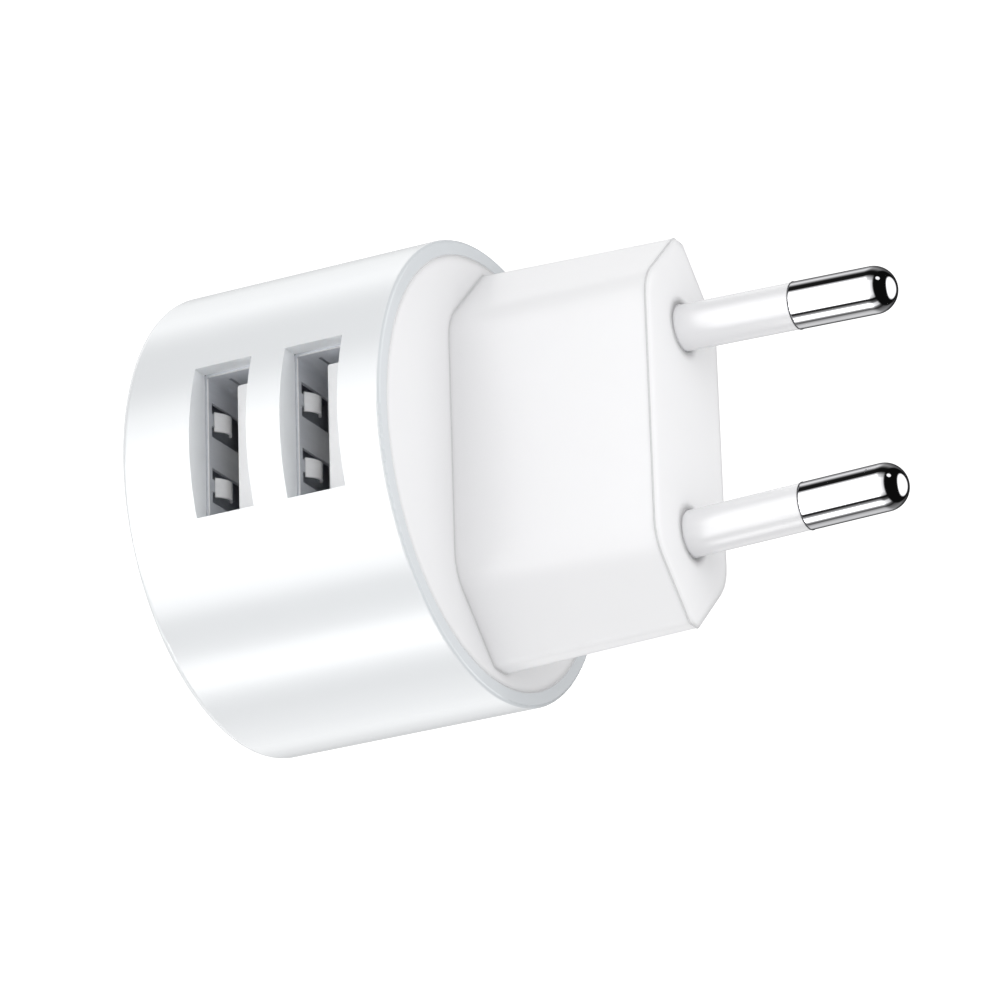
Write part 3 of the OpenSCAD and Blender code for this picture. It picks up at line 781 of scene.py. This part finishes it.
def add_rim_fill():
    """The plug's edge meets the housing's rim in a shallow soft step, not in an open gap."""
    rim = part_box("housing")[1]
    inner = rim.x / mm - HOUSING_WALL
    outline = [(inner + out, up) for out, up in RIM_FILL]
    middle = Vector((0.0, 0.0, rim.z))
    add_turned("rim_fill", middle, UPRIGHT, outline, "satin_white", PIN_SIDES, looped=True)


# ---------------------------------------------------------------- the ports

# Millimetres.
SHEET = 0.3
FINGER_X = 2.95
SPRING_T = 0.24
SPRING_TOP = 1.35
SPRING_RUN = 2.2
SPRING_STEPS = 28
SPRING_EDGE_R = 0.05
# Shares of a finger's width and of its rise that are lost by the tip, and how far round its
# crown goes to there.
SPRING_TAPER = 0.12
SPRING_DROOP = 0.15
SPRING_TIP_TURN = math.radians(62.0)
LIP_R = 0.16
LIP_INSET = 0.19
LIP_CORNER_R = 0.25
LIP_SIDES = 10
BACKING_HALF = (5.4, 3.7)
BACKING_CORNER_R = 0.5
BACKING_HALF_T = 0.07
BACKING_GAP = 1.0
BACKING_START = 0.7
# Size and level of each layer: both faces are drawn in a little, which breaks the plate's edges.
BACKING_LAYERS = [(0.985, -1.0), (1.0, -0.7), (1.0, 0.7), (0.985, 1.0)]


def spring_line(run, rise):
    """Height of a spring finger's middle line: a round crown that falls off to the tip."""
    if run < SPRING_TOP:
        return rise * math.sin(math.pi / 2.0 * run / SPRING_TOP)
    fall = (run - SPRING_TOP) / (SPRING_RUN - SPRING_TOP)
    return rise * (1.0 - SPRING_DROOP * fall) * math.cos(SPRING_TIP_TURN * fall)


def add_springs(port, side):
    """The pair of stamped spring fingers on one wide wall of a port."""
    node = f"port_{port}_{side}_springs"
    low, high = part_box(node)
    up = 1.0 if side == "low" else -1.0
    wall_z = low.z + SHEET / 2 * mm if side == "low" else high.z - SHEET / 2 * mm
    rise = high.z - low.z - SHEET * mm
    root_y = low.y + SHEET / 2 * mm
    width = high.x - FINGER_X * mm
    step = SPRING_RUN / SPRING_STEPS
    bm = bmesh.new()
    for x in (-FINGER_X * mm, FINGER_X * mm):
        rings = []
        for i in range(SPRING_STEPS + 1):
            run = step * i
            climb = spring_line(run + step / 2, rise) - spring_line(run - step / 2, rise)
            across = Vector((0.0, -climb, up * step * mm)).normalized() * SPRING_T / 2 * mm
            half = Vector((width * (1.0 - SPRING_TAPER * run / SPRING_RUN), 0.0, 0.0))
            middle = Vector((x, root_y + run * mm, wall_z + up * spring_line(run, rise)))
            rings.append([
                middle + across - half,
                middle + across + half,
                middle - across + half,
                middle - across - half,
            ])
        bridge(bm, rings, capped=True)
    body = f"port_{port}_{side}_fingers"
    # Painted light: the fingers' steel is painted far lighter than the shell's.
    piece = add_piece(f"{body}_formed", bm, "finger_steel", body)
    soften(piece, SPRING_EDGE_R, 2, clean=False)
    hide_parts(node)


def add_port_lip(port):
    """The rolled edge round a port's mouth, painted near white: a painted highlight."""
    low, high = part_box(f"port_{port}_shell")
    inset_by = Vector((LIP_INSET, 0.0, LIP_INSET)) * mm
    path = round_box_path(low + inset_by, high - inset_by, LIP_CORNER_R * mm, low.y + LIP_R * mm)
    bm = bmesh.new()
    tube(bm, path, LIP_R * mm, LIP_SIDES)
    add_piece(f"port_{port}_lip", bm, "lip_steel_lit")


def add_backing(port, side):
    """The thin grey insulating plate outside each wide wall, seen through the finger slots."""
    low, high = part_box(f"port_{port}_shell")
    z = low.z - BACKING_GAP * mm if side == "low" else high.z + BACKING_GAP * mm
    half = Vector((BACKING_HALF[0], 0.0, BACKING_HALF[1])) * mm
    outline = round_box_path(-half, half, BACKING_CORNER_R * mm, 0.0)
    middle_y = low.y + (BACKING_START + BACKING_HALF[1]) * mm
    rings = []
    for size, level in BACKING_LAYERS:
        height = z + level * BACKING_HALF_T * mm
        rings.append([Vector((p.x * size, middle_y + p.z * size, height)) for p in outline])
    bm = bmesh.new()
    bridge(bm, rings, capped=True)
    add_piece(f"port_{port}_{side}_backing", bm, "backing_grey")


# ---------------------------------------------------------------- the scene

add_camera()
add_floor()
Studio()
for name, softbox in SOFTBOXES.items():
    add_softbox(name, *softbox)
bpy.context.scene.view_settings.view_transform = "Standard"

for row in frame["record"]["subparts"]:
    paint(nodes[row["node"]], row["material_slot"])

add_plug_seam_shadows()
for number in (1, 2):
    add_pin(number)
    add_pin_joint_shadow(number)
add_rim_fill()
for port in (1, 2):
    add_port_lip(port)
    for side in ("low", "high"):
        add_springs(port, side)
        add_backing(port, side)
for name, rounding in ROUNDING.items():
    soften(nodes[name], *rounding)
# The pins are so close together that each would show as a broken line in the other's chrome.
for number in (1, 2):
    for piece in (bpy.data.objects[f"pin_{number}_turned"], nodes[f"pin_{number}_sleeve"]):
        piece.visible_glossy = False
